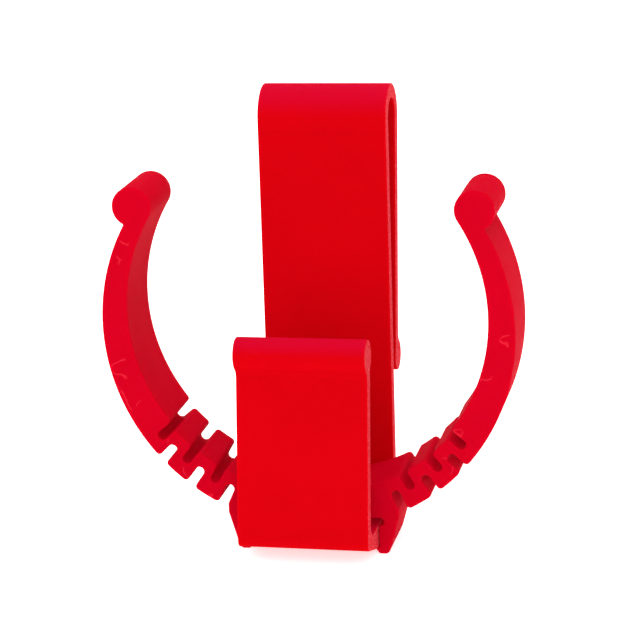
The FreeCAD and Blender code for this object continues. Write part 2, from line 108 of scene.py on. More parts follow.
class HolderCradleSizes(bpy.types.PropertyGroup):
    """Sizes of the printed cradle."""
    ring_radius: length("Ring", "Inner radius of the ring", 35.0 * MM)
    shell_radius: length("Shell", "Outer radius of the arms, about a lower centre", ARM_HIGH.x)
    shell_drop: length("Shell drop", "How far that centre lies below the ring's", 2.73 * MM)
    arm_inset: length("Arm inset", "How far past the middle an arm's inner circle is centred", 0.65 * MM)
    depth: length("Depth", "Cradle along Y", ARM_HIGH.y - ARM_LOW.y)
    tip_angle: turn("Tip angle", "From straight down to the tip roll", 122.4)
    tip_radius: length("Tip roll", "Radius of the roll at the end of each arm", 3.8 * MM)
    tip_centre: length("Tip centre", "From the ring's centre to the roll's centre", 38.25 * MM)
    flexure_start: turn("First flexure", "From straight down to the first flexure", 25.0)
    flexure_pitch: turn("Flexure pitch", "From one flexure to the next", 5.0)
    slot_width: length("Slot", "Width of the meander slots", 1.8 * MM)
    outer_slot_top: length("Outer slots", "Radius where the slots from outside end", 37.4 * MM)
    inner_slot_floor: length("Inner slots", "Radius where the slots from inside end", 38.6 * MM)
    tooth_round: length("Tooth rounding", "Rounding of the meander's corners", 0.75 * MM)
    knee_round: length("Knee rounding", "Rounding of the base beside the lowest slots", 0.45 * MM)
    knee_half: length("Knee", "Half width of the base at its widest", 16.6 * MM)
    knee_level: length("Knee level", "Level of the widest place", -39.4 * MM)
    foot_half: length("Foot", "Half width of the base at its bottom", 14.5 * MM)
    foot_level: length("Foot level", "Lowest level of the cradle", FLOOR_LEVEL)
    foot_round: length("Foot rounding", "Lower outer corners of the base", 0.9 * MM)
    slot_half: length("Web slot", "Half width of the slot over the web", 12.7 * MM)
    slot_ceiling: length("Web slot ceiling", "Top of the slot over the web", -40.85 * MM)
    relief_radius: length("Relief", "Rounds at the web slot's upper corners", 0.8 * MM)
    relief_level: length("Relief level", "Centre of the reliefs", -40.25 * MM)
    relief_inner: length("Relief inner end", "Inner centre of a relief, from the middle", 11.7 * MM)
    relief_outer: length("Relief outer end", "Outer centre of a relief, from the middle", 12.9 * MM)
    barb_half: length("Barb", "Half width between the barbs", 11.8 * MM)
    barb_top: length("Barb top", "Top of the barbs", -45.5 * MM)
    rim: length("Rim", "Rounding of the front and back rims", 0.28 * MM)


class HolderStripSizes(bpy.types.PropertyGroup):
    """Sizes of the printed clip strip."""
    width: length("Width", "Strip along X", PLATE_HIGH.x - PLATE_LOW.x)
    gauge: length("Gauge", "Thickness of the strip", 2.8 * MM)
    hook_radius: length("Hook", "Outer radius of the belt hook", 6.4 * MM)
    hook_y: length("Hook Y", "Centre of the hook along Y", 20.0035 * MM)
    hook_z: length("Hook Z", "Centre of the hook along Z", LEG_TOP - 6.4 * MM)
    plate_lean: turn("Plate lean", "Back plate towards the rear at its top", 2.55)
    leg_lean: turn("Leg lean", "Belt leg towards the plate at its bottom", 8.5)
    leg_length: length("Leg length", "Belt leg from the hook to its bead's centre", 47.1 * MM)
    leg_bead: length("Leg bead", "Radius of the bead on the belt leg", 3.0 * MM)
    leg_bead_out: length("Leg bead offset", "Bead's centre behind the leg's middle", 1.3 * MM)
    panel_lean: turn("Panel lean", "Front panel towards the plate", 8.5)
    panel_y: length("Panel Y", "Front face of the panel at its root", -16.249 * MM)
    panel_z: length("Panel Z", "Level of the panel's root", -37.0 * MM)
    panel_length: length("Panel length", "Panel from its root to its bead's centre", 31.0 * MM)
    panel_bead: length("Panel bead", "Radius of the bead on the panel", 3.25 * MM)
    panel_bead_out: length("Panel bead offset", "Bead's centre ahead of the panel's middle", 0.7 * MM)
    bead_blend: length("Bead hollow", "Hollow between a bead and its strip", 2.0 * MM)
    web_top: length("Web top", "Top of the web", -41.05 * MM)
    web_bottom: length("Web bottom", "Underside of the web", -45.3 * MM)
    ramp_foot: length("Ramp foot", "Y where the underside starts to rise forward", -8.4 * MM)
    ramp: turn("Ramp", "Slope of the underside towards the front", 18.0)
    web_corner: length("Inner corners", "Inner corners of the strip at the web", 2.4 * MM)
    rear_corner: length("Rear corner", "Outer corner below the plate", 4.0 * MM)
    front_corner: length("Front corner", "Outer corner below the panel", 1.6 * MM)
    rim: length("Rim", "Rounding of the side rims", 0.22 * MM)


class HolderFinish(bpy.types.PropertyGroup):
    """Colours of the two prints and of the sheen painted on the strip's sides, and the pitch of their
    layers.
    """
    cradle_colour: colour("Cradle", "Colour of the cradle's plastic", (0.325, 0.0002, 0.0070))
    strip_colour: colour("Strip", "Colour of the strip's plastic", (0.35, 0.0002, 0.0023))
    # the colour for the sides is a pale sheen painted where the strip faces along X
    painted_sheen_colour: colour("Painted side sheen", "Pale sheen painted on the strip's sides", (0.86, 0.10, 0.13))
    layer_pitch: length("Layers", "Height of one printed layer", 0.2 * MM)


# ---- drawing and modelling ---------------------------------------------------------------------------

def heading(vector):
    """The angle of a drawn vector, counter-clockwise from the drawing's first axis."""
    return math.atan2(vector.y, vector.x)


def sweep_between(start, end, side):
    """Turn from one direction to another, counter-clockwise for side 1 and clockwise for side -1."""
    return side * ((side * (heading(end) - heading(start))) % math.tau)


class Outline:
    """A pen that draws in edit mode: it extrudes its vertex along lines and spins it round arcs."""

    def __init__(self, name, across, start):
        self.across = across
        self.at = Vector(start)
        bpy.ops.object.select_all(action="DESELECT")
        bpy.ops.mesh.primitive_plane_add(size=MM)
        self.piece = bpy.context.active_object
        self.piece.name = name
        bpy.ops.object.mode_set(mode="EDIT")
        bpy.ops.mesh.select_mode(type="VERT")
        bpy.ops.mesh.select_all(action="SELECT")
        bpy.ops.mesh.merge(type="CENTER")
        bpy.ops.transform.translate(value=self.lifted(self.at))

    def lifted(self, point):
        """A point or step of the drawing as one in space."""
        if self.across == "X":
            return Vector((0, point.x, point.y))
        return Vector((point.x, 0, point.y))

    def line(self, end, steps=1):
        """A straight line, in equal steps."""
        step = (end - self.at) / steps
        for _ in range(steps):
            bpy.ops.mesh.extrude_vertices_move(TRANSFORM_OT_translate={"value": self.lifted(step)})
        self.at = end

    def arc(self, centre, sweep, steps):
        """An arc about a centre, counter-clockwise where the sweep is positive."""
        axis = (-1, 0, 0) if self.across == "X" else (0, 1, 0)
        bpy.ops.mesh.spin(
            steps=steps, angle=sweep, center=self.lifted(centre), axis=axis, use_auto_merge=False)
        self.at = centre + Matrix.Rotation(sweep, 2) @ (self.at - centre)

    def corner(self, corner, after, radius, steps=6, line_steps=1):
        """A line towards a corner and a rounding there, leaving it towards the point after."""
        inwards = (corner - self.at).normalized()
        onwards = (after - corner).normalized()
        bend = inwards.angle_signed(onwards) * -1
        reach = radius * math.tan(abs(bend) / 2)
        self.line(corner - inwards * reach, line_steps)
        side = math.copysign(1, bend)
        self.arc(self.at + Vector((-inwards.y, inwards.x)) * side * radius, bend, steps)

    def solid(self, thickness):
        """Close the outline, fill it and give it its thickness, half to each side."""
        bpy.ops.mesh.select_all(action="SELECT")
        bpy.ops.mesh.remove_doubles(threshold=WELD)
        bpy.ops.mesh.edge_face_add()
        direction = Vector((1, 0, 0)) if self.across == "X" else Vector((0, 1, 0))
        bpy.ops.transform.translate(value=direction * -thickness / 2)
        bpy.ops.mesh.extrude_region_move(TRANSFORM_OT_translate={"value": direction * thickness})
        bpy.ops.mesh.select_all(action="SELECT")
        bpy.ops.mesh.normals_make_consistent(inside=False)
        bpy.ops.object.mode_set(mode="OBJECT")
        return self.piece


def select_only(piece):
    """Select one piece, and make it the active one."""
    bpy.ops.object.select_all(action="DESELECT")
    piece.select_set(True)
    bpy.context.view_layer.objects.active = piece


def copied(piece, name):
    """A copy of a piece with its own mesh."""
    select_only(piece)
    bpy.ops.object.duplicate()
    copy = bpy.context.active_object
    copy.name = name
    return copy


def cut_at(piece, point, normal):
    """Cut a piece at a plane and close it there. What the normal points to is removed."""
    select_only(piece)
    bpy.ops.object.mode_set(mode="EDIT")
    bpy.ops.mesh.select_all(action="SELECT")
    bpy.ops.mesh.bisect(
        plane_co=point, plane_no=normal, use_fill=True, clear_outer=True, threshold=CUT_PRECISION)
    bpy.ops.object.mode_set(mode="OBJECT")


def trim_beyond(piece, point, normal, gate, gate_normal):
    """Cut at a plane and close it there, but only remove what also lies beyond the gate plane."""
    select_only(piece)
    bpy.ops.object.mode_set(mode="EDIT")
    bpy.ops.mesh.select_all(action="SELECT")
    bpy.ops.mesh.bisect(plane_co=point, plane_no=normal, threshold=CUT_PRECISION)
    bpy.ops.mesh.select_mode(type="FACE")
    bpy.ops.mesh.select_all(action="DESELECT")
    bpy.ops.object.mode_set(mode="OBJECT")
    for face in piece.data.polygons:
        beyond = (face.center - Vector(point)).dot(Vector(normal)) > 0
        face.select = beyond and (face.center - Vector(gate)).dot(Vector(gate_normal)) > 0
    bpy.ops.object.mode_set(mode="EDIT")
    bpy.ops.mesh.delete(type="FACE")
    bpy.ops.mesh.select_mode(type="EDGE")
    bpy.ops.mesh.select_non_manifold()
    bpy.ops.mesh.edge_face_add()
    bpy.ops.mesh.select_mode(type="VERT")
    bpy.ops.object.mode_set(mode="OBJECT")


def round_rims(piece, width):
    """Round a solid's sharp edges."""
    rims = piece.modifiers.new("Rims", "BEVEL")
    rims.width = width
    rims.segments = RIM_SEGMENTS
    rims.limit_method = "ANGLE"
    rims.angle_limit = RIM_ANGLE
    rims.use_clamp_overlap = False
    bpy.context.view_layer.objects.active = piece
    bpy.ops.object.modifier_apply(modifier=rims.name)


def finish_piece(piece, material):
    """Smooth a piece up to its sharp edges, keep its flats flat and give it its material."""
    select_only(piece)
    bpy.ops.object.shade_smooth_by_angle(angle=SMOOTH_ANGLE)
    flats = piece.modifiers.new("Flats", "WEIGHTED_NORMAL")
    flats.keep_sharp = True
    flats.weight = 100
    bpy.ops.object.modifier_apply(modifier=flats.name)
    piece.data.materials.clear()
    piece.data.materials.append(material)


# ---- materials -----------------------------------------------------------------------------------------

PLASTIC_ROUGHNESS = 0.6
PLASTIC_IOR = 1.46
PLASTIC_SHINE = 0.004                   # specular level: the prints hardly reflect
PLASTIC_DEPTH = 2.5 * MM                # how far red light travels inside
PLASTIC_TRAVEL = (1.0, 0.08, 0.08)      # and how far each colour does, as a share of it
PLASTIC_TRANSLUCENCE = 0.4
PAINTED_FILL_GLOW = 0.35                     # painted fill light: emission as a share of the colour makes the prints look evenly lit all round
STRING_COLOUR = (0.86, 0.05, 0.09)      # strings of plastic on the cradle's faces
PAINTED_GLINT_COLOUR = (0.46, 0.055, 0.075)   # painted glints on patches of grains on the strip's sides
PAINTED_SKY_TINT_COLOUR = (0.345, 0.001, 0.0125)  # painted pinker tint of the light from above, on broad faces of the strip that look up
GRAINS = 4200.0                         # grains per metre on the strip's sides


def new_group(name, inputs, outputs):
    """An empty shader group with its sockets."""
    group = bpy.data.node_groups.new(name, "ShaderNodeTree")
    for socket, kind, default in inputs:
        item = group.interface.new_socket(socket, in_out="INPUT", socket_type=kind)
        item.default_value = default
    for socket, kind in outputs:
        group.interface.new_socket(socket, in_out="OUTPUT", socket_type=kind)
    group.nodes.new("NodeGroupInput")
    group.nodes.new("NodeGroupOutput")
    return group


def ends(group):
    """A group's inputs and outputs, as its own nodes see them."""
    return group.nodes["Group Input"].outputs, group.nodes["Group Output"].inputs


def plug(tree, value, socket):
    """Give a socket another node's output, or a plain value."""
    if isinstance(value, bpy.types.NodeSocket):
        tree.links.new(value, socket)
    else:
        socket.default_value = value


def maths(tree, operation, *values):
    """A Math node. A value is a number or another node's output."""
    node = tree.nodes.new("ShaderNodeMath")
    node.operation = operation
    for index, value in enumerate(values):
        plug(tree, value, node.inputs[index])
    return node.outputs[0]


def noise(tree, vector, scale, detail=2.0, roughness=0.5):
    """A noise texture. Scale is in waves per metre."""
    node = tree.nodes.new("ShaderNodeTexNoise")
    tree.links.new(vector, node.inputs["Vector"])
    node.inputs["Detail"].default_value = detail
    node.inputs["Roughness"].default_value = roughness
    plug(tree, scale, node.inputs["Scale"])
    return node.outputs["Fac"]


def ramp(tree, value, low, high):
    """A smooth step from 0 to 1 between two values."""
    node = tree.nodes.new("ShaderNodeMapRange")
    node.interpolation_type = "SMOOTHSTEP"
    node.inputs["From Min"].default_value = low
    node.inputs["From Max"].default_value = high
    tree.links.new(value, node.inputs["Value"])
    return node.outputs["Result"]


def layer_lines_group():
    """Printed layers: rounded lines at a pitch along one axis, a little uneven in height."""
    group = new_group(
        "Printed layers",
        [("Vector", "NodeSocketVector", (0, 0, 0)), ("Axis", "NodeSocketVector", (0, 1, 0)),
         ("Pitch", "NodeSocketFloat", 0.2 * MM)],
        [("Height", "NodeSocketFloat")])
    given, result = ends(group)
    along = group.nodes.new("ShaderNodeVectorMath")
    along.operation = "DOT_PRODUCT"
    group.links.new(given["Vector"], along.inputs[0])
    group.links.new(given["Axis"], along.inputs[1])
    phase = maths(group, "DIVIDE", along.outputs["Value"], given["Pitch"])
    wave = maths(group, "SINE", maths(group, "MULTIPLY", phase, math.tau))
    layer = maths(group, "FLOOR", phase)
    level = group.nodes.new("ShaderNodeTexWhiteNoise")
    level.noise_dimensions = "1D"
    group.links.new(layer, level.inputs["W"])
    uneven = maths(group, "MULTIPLY", level.outputs["Value"], 0.8)
    group.links.new(maths(group, "ADD", wave, uneven), result["Height"])
    return group


def bed_grain_group():
    """The rough skin of a printed side: fine grains, with a mask of patches of grains that get a painted
    glint.
    """
    group = new_group(
        "Bed grain",
        [("Vector", "NodeSocketVector", (0, 0, 0)), ("Grain", "NodeSocketFloat", GRAINS)],
        [("Height", "NodeSocketFloat"), ("Bright", "NodeSocketFloat")])
    given, result = ends(group)
    fine = noise(group, given["Vector"], given["Grain"], detail=4.0, roughness=0.7)
    cells = group.nodes.new("ShaderNodeTexVoronoi")
    cells.distance = "EUCLIDEAN"
    group.links.new(given["Vector"], cells.inputs["Vector"])
    group.links.new(given["Grain"], cells.inputs["Scale"])
    bump = maths(group, "SUBTRACT", 1.0, cells.outputs["Distance"])
    group.links.new(maths(group, "ADD", fine, maths(group, "MULTIPLY", bump, 0.6)), result["Height"])
    patch = noise(group, given["Vector"], maths(group, "MULTIPLY", given["Grain"], 0.55), detail=2.0)
    group.links.new(ramp(group, patch, 0.45, 0.62), result["Bright"])
    return group


def strings_group():
    """Faint short strings of plastic that a nozzle leaves on a face, as a mask."""
    group = new_group(
        "Nozzle strings",
        [("Vector", "NodeSocketVector", (0, 0, 0)), ("Amount", "NodeSocketFloat", 0.5)],
        [("Mask", "NodeSocketFloat")])
    given, result = ends(group)
    bent = group.nodes.new("ShaderNodeVectorMath")
    bent.operation = "ADD"
    wobble = group.nodes.new("ShaderNodeTexNoise")
    wobble.inputs["Scale"].default_value = 180.0
    group.links.new(given["Vector"], wobble.inputs["Vector"])
    small = group.nodes.new("ShaderNodeVectorMath")
    small.operation = "SCALE"
    small.inputs["Scale"].default_value = 6.0 * MM
    group.links.new(wobble.outputs["Color"], small.inputs[0])
    group.links.new(given["Vector"], bent.inputs[0])
    group.links.new(small.outputs["Vector"], bent.inputs[1])
    lines = group.nodes.new("ShaderNodeTexVoronoi")
    lines.feature = "DISTANCE_TO_EDGE"
    lines.inputs["Scale"].default_value = 170.0
    group.links.new(bent.outputs["Vector"], lines.inputs["Vector"])
    thin = ramp(group, maths(group, "SUBTRACT", 0.05, lines.outputs["Distance"]), 0.012, 0.045)
    places = noise(group, given["Vector"], 210.0, detail=1.0)
    least = maths(group, "SUBTRACT", 0.78, maths(group, "MULTIPLY", given["Amount"], 0.3))
    few = maths(group, "SUBTRACT", places, least)
    group.links.new(maths(group, "MULTIPLY", thin, ramp(group, few, 0.0, 0.05)), result["Mask"])
    return group


def placed(tree, group, **values):
    """A group in a material, with its own values."""
    node = tree.nodes.new("ShaderNodeGroup")
    node.node_tree = group
    for name, value in values.items():
        plug(tree, value, node.inputs[name.capitalize()])
    return node


def mixed(tree, share, first, second):
    """A colour mix. Each colour is a socket or three numbers."""
    node = tree.nodes.new("ShaderNodeMix")
    node.data_type = "RGBA"
    tree.links.new(share, node.inputs["Factor"])
    for name, value in (("A", first), ("B", second)):
        socket = next(item for item in node.inputs if item.name == name and item.type == "RGBA")
        plug(tree, value if isinstance(value, bpy.types.NodeSocket) else (*value, 1.0), socket)
    return next(item for item in node.outputs if item.type == "RGBA")


def bump(tree, height, strength, distance, normal=None):
    """A Bump node, on top of another one's normal if that is given."""
    node = tree.nodes.new("ShaderNodeBump")
    node.inputs["Distance"].default_value = distance
    node.inputs["Strength"].default_value = strength
    tree.links.new(height, node.inputs["Height"])
    if normal is not None:
        tree.links.new(normal, node.inputs["Normal"])
    return node.outputs["Normal"]


def slant(tree, coordinates, axis):
    """How far the surface faces along an axis of the piece, from -1 to 1."""
    parts = tree.nodes.new("ShaderNodeSeparateXYZ")
    tree.links.new(coordinates.outputs["Normal"], parts.inputs[0])
    return parts.outputs[axis]


def facing(tree, coordinates, axis, low, high):
    """1 where the surface faces along an axis of the piece, either way, and 0 elsewhere."""
    return ramp(tree, maths(tree, "ABSOLUTE", slant(tree, coordinates, axis)), low, high)


def mottled(tree, place, scale, colour_value, gain):
    """A colour that is a little lighter in soft patches."""
    lighter = tuple(channel * gain for channel in colour_value)
    patches = ramp(tree, noise(tree, place, scale, detail=3.0), 0.3, 0.7)
    return mixed(tree, patches, tuple(colour_value), lighter)


def new_plastic(name):
    """A soft plastic with a painted fill glow, without its colour and relief: the material, its tree,
    shader and coordinates.
    """
    material = bpy.data.materials.new(name)
    material.use_nodes = True
    shader = material.node_tree.nodes["Principled BSDF"]
    shader.inputs["Roughness"].default_value = PLASTIC_ROUGHNESS
    shader.inputs["IOR"].default_value = PLASTIC_IOR
    shader.inputs["Specular IOR Level"].default_value = PLASTIC_SHINE
    shader.inputs["Subsurface Weight"].default_value = PLASTIC_TRANSLUCENCE
    shader.inputs["Subsurface Radius"].default_value = PLASTIC_TRAVEL
    shader.inputs["Subsurface Scale"].default_value = PLASTIC_DEPTH
    # the emission is a painted fill light, not a lamp
    shader.inputs["Emission Strength"].default_value = PAINTED_FILL_GLOW
    coordinates = material.node_tree.nodes.new("ShaderNodeTexCoord")
    return material, material.node_tree, shader, coordinates


def cradle_plastic(finish, groups):
    """Satin crimson with a painted fill glow: flat faces with strings on them, and layer lines along the
    walls.
    """
    material, tree, shader, coordinates = new_plastic("Cradle plastic")
    place = coordinates.outputs["Object"]
    face = facing(tree, coordinates, "Y", 0.55, 0.8)
    wall = maths(tree, "SUBTRACT", 1.0, face)
    layers = placed(tree, groups["layers"], vector=place, axis=(0, 1, 0), pitch=finish.layer_pitch)
    strings = placed(tree, groups["strings"], vector=place, amount=0.55)
    string_mask = maths(tree, "MULTIPLY", strings.outputs["Mask"], face)
    base = mottled(tree, place, 90.0, finish.cradle_colour, 1.06)
    pale = mixed(tree, maths(tree, "MULTIPLY", string_mask, 0.14), base, STRING_COLOUR)
    tree.links.new(pale, shader.inputs["Base Color"])
    # the painted fill glow takes the plastic's own colour
    tree.links.new(pale, shader.inputs["Emission Color"])
    height = maths(tree, "MULTIPLY", layers.outputs["Height"], wall)
    normal = bump(tree, height, 0.5, 0.012 * MM)
    normal = bump(tree, noise(tree, place, 700.0, detail=3.0), 0.25, 0.02 * MM, normal)
    normal = bump(tree, string_mask, 0.4, 0.02 * MM, normal)
    tree.links.new(normal, shader.inputs["Normal"])
    return material


def strip_plastic(finish, groups):
    """Satin red with a painted fill glow: smooth broad faces with fine layer lines and a painted pink tint
    of the light from above where they look up, and rough sides with a painted sheen and painted glints.
    """
    material, tree, shader, coordinates = new_plastic("Strip plastic")
    place = coordinates.outputs["Object"]
    side = facing(tree, coordinates, "X", 0.86, 0.98)
    broad = maths(tree, "SUBTRACT", 1.0, side)
    layers = placed(tree, groups["layers"], vector=place, axis=(1, 0, 0), pitch=finish.layer_pitch)
    grain = placed(tree, groups["grain"], vector=place, grain=GRAINS)
    glint_mask = maths(tree, "MULTIPLY", grain.outputs["Bright"], side)
    base = mottled(tree, place, 60.0, finish.strip_colour, 1.05)
    # painted sheen: the sides that face along X are veiled with a pale pink
    with_side_sheen = mixed(tree, maths(tree, "MULTIPLY", side, 0.06), base, tuple(finish.painted_sheen_colour))
    # painted glints: patches of grains on the sides are made lighter and pinker
    with_glints = mixed(tree, maths(tree, "MULTIPLY", glint_mask, 0.75), with_side_sheen, PAINTED_GLINT_COLOUR)
    # painted light from above: broad faces that look up are tinted pinker
    sky_tint_share = maths(tree, "MULTIPLY", ramp(tree, slant(tree, coordinates, "Z"), 0.1, 0.95), broad)
    with_sky_tint = mixed(tree, sky_tint_share, with_glints, PAINTED_SKY_TINT_COLOUR)
    tree.links.new(with_sky_tint, shader.inputs["Base Color"])
    # the painted fill glow takes the plastic's own colour
    tree.links.new(with_sky_tint, shader.inputs["Emission Color"])
    height = maths(tree, "MULTIPLY", layers.outputs["Height"], broad)
    normal = bump(tree, height, 0.4, 0.008 * MM)
    normal = bump(tree, maths(tree, "MULTIPLY", grain.outputs["Height"], side), 0.5, 0.10 * MM, normal)
    tree.links.new(normal, shader.inputs["Normal"])
    return material


def holder_materials():
    """The two plastics, made the first time that they are asked for."""
    finish = bpy.context.scene.holder_finish
    if "Cradle plastic" not in bpy.data.materials:
        groups = {"layers": layer_lines_group(), "grain": bed_grain_group(), "strings": strings_group()}
        cradle_plastic(finish, groups)
        strip_plastic(finish, groups)
    return bpy.data.materials["Cradle plastic"], bpy.data.materials["Strip plastic"]


# ---- cradle ----------------------------------------------------------------------------------------------

def down_turn(angle):
    """Directions at an angle up from straight down, on the right: outwards, and on round the ring."""
    outwards = Vector((math.sin(angle), -math.cos(angle)))
    return outwards, Vector((math.cos(angle), math.sin(angle)))


def along_to_circle(direction, offset, centre, radius):
    """The point that lies offset from the line through the origin, and on a circle, on its far side."""
    start = offset - centre
    half = start.dot(direction)
    reach = -half + math.sqrt(half * half - start.length_squared + radius * radius)
    return offset + direction * reach


def circles_meet(first, first_radius, second, second_radius, side):
    """Where two circles meet or touch, on the left of the way from first to second for side 1."""
    between = second - first
    share = (between.length_squared + first_radius ** 2 - second_radius ** 2) / (2 * between.length_squared)
    height = math.sqrt(max(0, first_radius ** 2 - (share * between.length) ** 2)) / between.length
    return first + between * share + Vector((-between.y, between.x)) * height * side


def slot_mouth(outwards, onwards, circle, sizes, side, entering):
    """The rounding where a slot's wall meets a circle: its centre and the directions of its two ends."""
    centre, radius, outer = circle
    rounding = sizes.tooth_round
    shift = onwards * side * (sizes.slot_width / 2 + rounding)
    inner_radius = radius - rounding if outer else radius + rounding
    middle = along_to_circle(outwards, shift, centre, inner_radius)
    to_circle = (middle - centre).normalized() * (1 if outer else -1)
    to_wall = onwards * -side
    if entering:
        return middle, to_circle, to_wall
    return middle, to_wall, to_circle


def arc_steps(sweep, radius):
    """How many straight pieces an arc is drawn with."""
    return max(2, round(abs(sweep) * radius / CHORD))


def arc_about(pen, centre, end, side):
    """An arc to the direction of a point, counter-clockwise for side 1."""
    radius = (pen.at - centre).length
    sweep = sweep_between(pen.at - centre, end - centre, side)
    pen.arc(centre, sweep, arc_steps(sweep, radius))


def draw_slot(pen, sizes, index, before, after, side):
    """One slot of the meander and its two mouth corners. Side is 1 on the way up and -1 on the way back."""
    outwards, onwards = down_turn(sizes.flexure_start + index * sizes.flexure_pitch)
    from_outside = index % 2 == 0
    end_radius = sizes.slot_width / 2
    depth = sizes.outer_slot_top + end_radius if from_outside else sizes.inner_slot_floor - end_radius
    if before is not None:
        middle, start, end = slot_mouth(outwards, onwards, before, sizes, -side, True)
        arc_about(pen, before[0], middle + start * sizes.tooth_round, side)
        arc_about(pen, middle, middle + end * sizes.tooth_round, 1)
    pen.line(outwards * depth - onwards * side * end_radius)
    pen.arc(outwards * depth, -math.pi, steps=12)
    middle, start, end = slot_mouth(outwards, onwards, after, sizes, side, False)
    pen.line(middle + start * sizes.tooth_round)
    arc_about(pen, middle, middle + end * sizes.tooth_round, 1)


def draw_half_cradle(sizes):
    """The right half of the cradle's outline, from the web slot's ceiling round to the ring's bottom."""
    pen = Outline("cradle_blank", "Y", (0, sizes.slot_ceiling))
    relief = sizes.relief_radius
    rise = sizes.slot_ceiling - sizes.relief_level
    pen.line(Vector((sizes.relief_inner - math.sqrt(relief ** 2 - rise ** 2), sizes.slot_ceiling)), steps=6)
    arc_about(pen, Vector((sizes.relief_inner, sizes.relief_level)), Vector((sizes.relief_inner, 0)), -1)
    pen.line(Vector((sizes.relief_outer, sizes.relief_level + relief)))
    shift = sizes.slot_half - sizes.relief_outer
    relief_end = Vector((sizes.slot_half, sizes.relief_level - math.sqrt(relief ** 2 - shift ** 2)))
    arc_about(pen, Vector((sizes.relief_outer, sizes.relief_level)), relief_end, -1)
    pen.line(Vector((sizes.slot_half, sizes.barb_top)), steps=12)
    pen.line(Vector((sizes.barb_half, sizes.barb_top)), steps=2)
    pen.line(Vector((sizes.slot_half, sizes.foot_level)), steps=2)
    foot = Vector((sizes.foot_half, sizes.foot_level))
    knee = Vector((sizes.knee_half, sizes.knee_level))
    pen.corner(foot, knee, sizes.foot_round)
    pen.line(knee, steps=20)
    outwards, onwards = down_turn(sizes.flexure_start)
    wall = -onwards * sizes.slot_width / 2
    slot_corner = wall + outwards * ((sizes.knee_half - wall.x) / outwards.x)
    pen.corner(slot_corner, wall + outwards * sizes.outer_slot_top, sizes.knee_round)
    shell = (Vector((0, -sizes.shell_drop)), sizes.shell_radius, True)
    ring = (Vector((0, 0)), sizes.ring_radius, False)
    arm_inside = (Vector((-sizes.arm_inset, 0)), sizes.ring_radius, False)
    draw_slot(pen, sizes, 0, None, shell, 1)
    for index in (2, 4):
        draw_slot(pen, sizes, index, shell, shell, 1)
    roll = down_turn(sizes.tip_angle)[0] * sizes.tip_centre
    arc_about(pen, shell[0], circles_meet(shell[0], shell[1], roll, sizes.tip_radius, -1), 1)
    inner_meeting = circles_meet(arm_inside[0], arm_inside[1], roll, sizes.tip_radius, -1)
    arc_about(pen, roll, inner_meeting, 1)
    for index in (5, 3, 1):
        draw_slot(pen, sizes, index, arm_inside if index == LINKS else ring, ring, -1)
    arc_about(pen, ring[0], Vector((0, -sizes.ring_radius)), -1)
    return pen


def cradle_blank(sizes):
    """The whole cradle as one solid."""
    pen = draw_half_cradle(sizes)
    bpy.ops.object.mode_set(mode="OBJECT")
    halves = pen.piece.modifiers.new("Halves", "MIRROR")
    halves.merge_threshold = WELD
    bpy.ops.object.modifier_apply(modifier=halves.name)
    bpy.ops.object.mode_set(mode="EDIT")
    blank = pen.solid(sizes.depth)
    round_rims(blank, sizes.rim)
    return blank


def ring_plane(sizes, side, place):
    """The normal, up round the ring, of a plane through its centre at a place counted in flexures."""
    angle = sizes.flexure_start + place * sizes.flexure_pitch
    onwards = down_turn(angle)[1]
    return Vector((side * onwards.x, 0, onwards.y))


class HOLDER_OT_cradle(bpy.types.Operator):
    """Model the cradle, and divide it at the middle of each wall of its meander springs"""
    bl_idname = "holder.cradle"
    bl_label = "Cradle"

    def execute(self, context):
        sizes = context.scene.holder_cradle
        material = holder_materials()[0]
        blank = cradle_blank(sizes)
        for side_name, side in SIDES.items():
            self.base_half(sizes, blank, material, side_name, side)
            for index in range(LINKS + 1):
                self.fold(sizes, blank, material, side_name, side, index)
            arm = copied(blank, side_name + "_arm_crescent")
            cut_at(arm, (0, 0, 0), -ring_plane(sizes, side, LINKS + 0.5))
            cut_at(arm, (0, 0, 0), (-side, 0, 0))
            finish_piece(arm, material)
            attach(arm, side_name + "_arm")
            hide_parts(side_name + "_arm")
        bpy.data.objects.remove(blank)
        return {"FINISHED"}

    def base_half(self, sizes, blank, material, side_name, side):
        """Half of the base with its snap leg, which bends below the web slot's ceiling."""
        half = copied(blank, side_name + "_base_half")
        cut_at(half, (0, 0, 0), ring_plane(sizes, side, -0.5))
        cut_at(half, (0, 0, 0), (-side, 0, 0))
        finish_piece(half, material)
        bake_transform(half)
        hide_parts("cradle_base", side_name + "_snap_leg")

    def fold(self, sizes, blank, material, side_name, side, index):
        """One fold of a meander spring: two half walls and the bridge that bends between them."""
        fold = copied(blank, f"{side_name}_spring_fold_{index + 1}")
        cut_at(fold, (0, 0, 0), -ring_plane(sizes, side, index - 0.5))
        cut_at(fold, (0, 0, 0), ring_plane(sizes, side, index + 0.5))
        cut_at(fold, (0, 0, 0), (-side, 0, 0))
        finish_piece(fold, material)
        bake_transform(fold)
        if index:
            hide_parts(f"{side_name}_spring_link_{index}")


# ---- clip strip ------------------------------------------------------------------------------------------

class Leaning:
    """A frame in the YZ plane that leans towards the rear: depth runs along the lean, height up it."""

    def __init__(self, origin, lean):
        self.origin = origin
        self.depth = Vector((math.cos(lean), -math.sin(lean)))
        self.height = Vector((math.sin(lean), math.cos(lean)))

    def point(self, depth, height):
        return self.origin + self.depth * depth + self.height * height

    def at_level(self, depth, level):
        """The point of the face at a depth that lies at a level."""
        start = self.point(depth, 0)
        return start + self.height * ((level - start.y) / self.height.y)


def hollow_centre(bead_depth, bead_height, bead, blend, face, side, along):
    """Centre of the hollow beside a bead: outside the face at that depth, along the strip from the bead."""
    depth = face + side * blend
    reach = math.sqrt((bead + blend) ** 2 - (depth - bead_depth) ** 2)
    return depth, bead_height + along * reach


